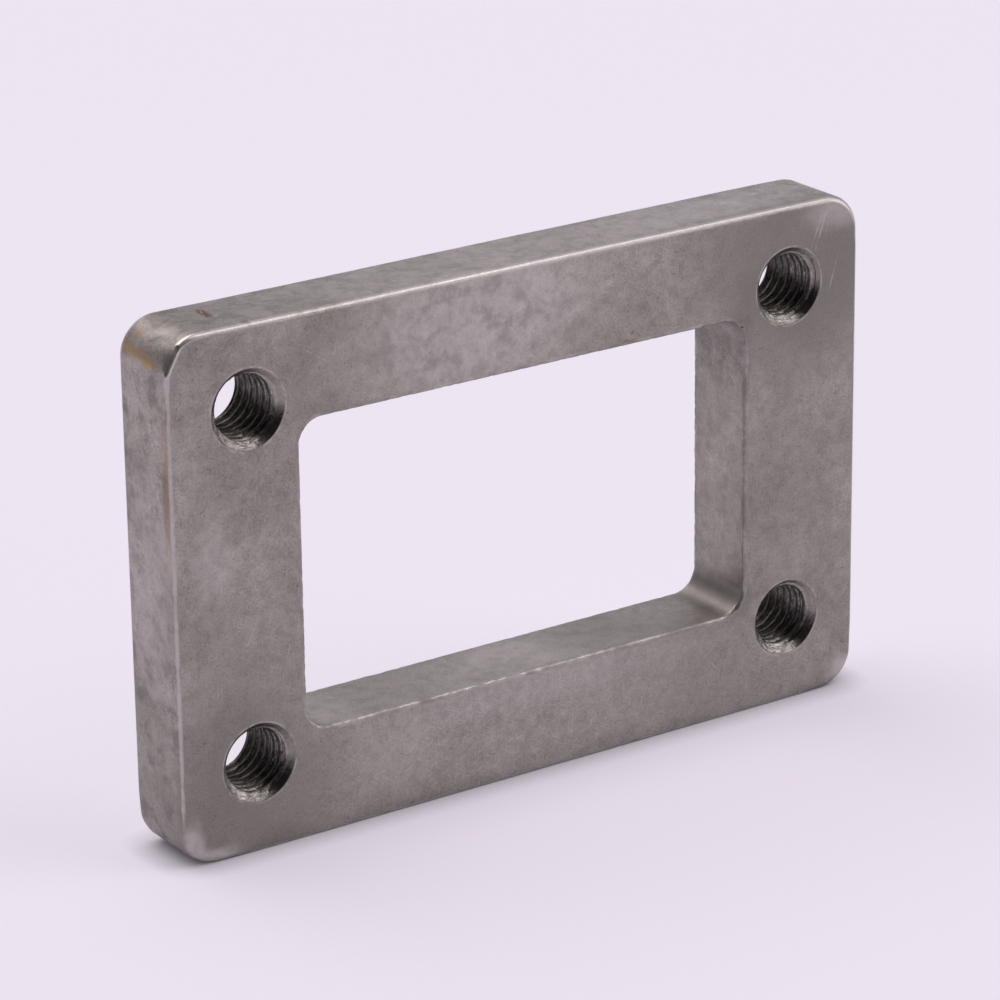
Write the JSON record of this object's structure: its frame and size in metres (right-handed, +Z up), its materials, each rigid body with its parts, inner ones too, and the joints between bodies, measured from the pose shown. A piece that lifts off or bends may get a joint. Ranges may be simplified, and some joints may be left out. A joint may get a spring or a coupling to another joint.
{
  "type": "turbo inlet flange",
  "caption": "Flat rectangular steel flange with a rectangular gas port and a tapped hole near each corner, joining an exhaust manifold to a turbocharger inlet.",
  "frame": {"origin": "on the ground under the middle of the plate, which stands on one long edge", "axes": "+X along the plate's width, -Y out of its front face, +Z up across its height"},
  "size_m": [0.11, 0.0116, 0.0722],
  "materials": {
    "steel": "bare tumbled mild steel, dull grey with cloudy patches, fine scratches and a few rust stains"
  },
  "bodies": {
    "root": {"inlet_flange": "steel"}
  },
  "joints": []
}
